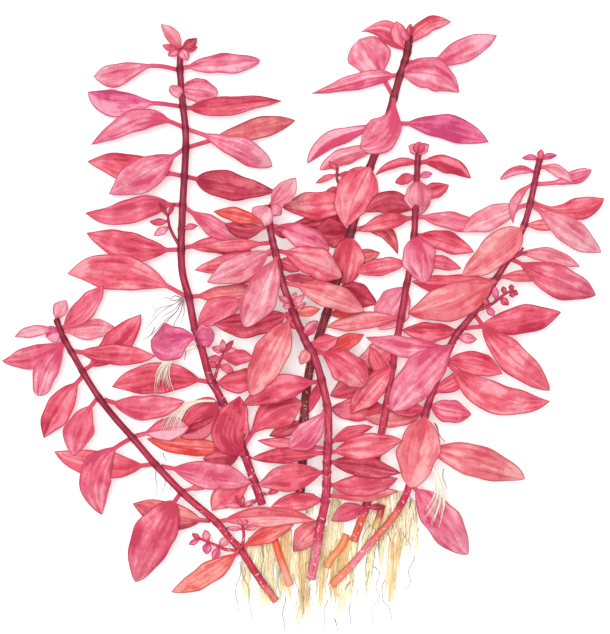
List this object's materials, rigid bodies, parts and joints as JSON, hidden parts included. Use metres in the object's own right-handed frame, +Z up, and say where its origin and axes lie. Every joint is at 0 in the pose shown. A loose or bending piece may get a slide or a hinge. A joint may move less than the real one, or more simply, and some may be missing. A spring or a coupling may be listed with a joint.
{
  "type": "aquarium plant",
  "caption": "Picked bunch of red-leaved stem plant lying flat, with paired pointed leaves along each shoot and a tangle of fine roots at the base.",
  "frame": {"origin": "centre of the bunch's bounding box, on the surface that the bunch lies on", "axes": "+Z up from the surface towards the viewer of the picture, +Y towards the shoot tips, +X to the picture's right"},
  "size_m": [0.2012, 0.2056, 0.0345],
  "materials": {
    "pink_leaf": "satin leaf skin with fine veins",
    "magenta_leaf": "satin leaf skin with fine veins",
    "coral_leaf": "satin leaf skin with fine veins",
    "stem": "satin, dark crimson stem skin",
    "pale_leaf": "satin leaf skin with fine veins",
    "salmon_leaf": "satin leaf skin with fine veins",
    "dark_leaf": "satin leaf skin with fine veins",
    "crimson_leaf": "satin leaf skin with fine veins",
    "rose_leaf": "satin leaf skin with fine veins",
    "brown_leaf": "satin leaf skin with fine veins",
    "roots": "matt, pale yellow fine roots"
  },
  "bodies": {
    "root": {"back_shoot_leaf_04": "pink_leaf", "back_shoot_leaf_07": "pink_leaf", "back_shoot_leaf_08": "pink_leaf", "back_shoot_leaf_10": "magenta_leaf", "back_shoot_leaf_12": "coral_leaf", "back_shoot_leaf_13": "coral_leaf", "back_shoot_stem": "stem", "front_shoot_leaf_08": "coral_leaf", "front_shoot_leaf_10": "pale_leaf", "front_shoot_leaf_11": "salmon_leaf", "front_shoot_leaf_13": "salmon_leaf", "front_shoot_leaf_14": "dark_leaf", "front_shoot_leaf_15": "coral_leaf", "front_shoot_leaf_17": "crimson_leaf", "front_shoot_stem": "stem", "left_shoot_leaf_08": "crimson_leaf", "left_shoot_leaf_10": "crimson_leaf", "left_shoot_leaf_12": "rose_leaf", "left_shoot_leaf_13": "rose_leaf", "left_shoot_leaf_15": "coral_leaf", "left_shoot_leaf_16": "pink_leaf", "left_shoot_leaf_17": "rose_leaf", "left_shoot_leaf_19": "brown_leaf", "left_shoot_stem": "stem", "middle_shoot_leaf_18": "crimson_leaf", "middle_shoot_stem": "stem", "right_shoot_aerial_roots_41": "roots", "right_shoot_leaf_06": "pale_leaf", "right_shoot_leaf_09": "salmon_leaf", "right_shoot_leaf_11": "rose_leaf", "right_shoot_leaf_14": "salmon_leaf", "right_shoot_leaf_15": "coral_leaf", "right_shoot_leaf_16": "crimson_leaf", "right_shoot_leaf_20": "pink_leaf", "right_shoot_leaf_22": "coral_leaf", "right_shoot_leaf_27": "salmon_leaf", "right_shoot_leaf_28": "salmon_leaf", "right_shoot_leaf_29": "pink_leaf", "right_shoot_stem": "stem", "root_mat": "roots", "tall_shoot_aerial_roots_55": "roots", "tall_shoot_aerial_roots_56": "roots", "tall_shoot_leaf_01": "pink_leaf", "tall_shoot_leaf_03": "pink_leaf", "tall_shoot_leaf_05": "magenta_leaf", "tall_shoot_leaf_06": "pink_leaf", "tall_shoot_leaf_07": "pink_leaf", "tall_shoot_leaf_08": "brown_leaf", "tall_shoot_leaf_09": "crimson_leaf", "tall_shoot_leaf_10": "dark_leaf", "tall_shoot_leaf_11": "rose_leaf", "tall_shoot_leaf_13": "crimson_leaf", "tall_shoot_leaf_15": "coral_leaf", "tall_shoot_leaf_20": "crimson_leaf", "tall_shoot_leaf_25": "crimson_leaf", "tall_shoot_leaf_27": "crimson_leaf", "tall_shoot_stem": "stem"}
  },
  "joints": []
}
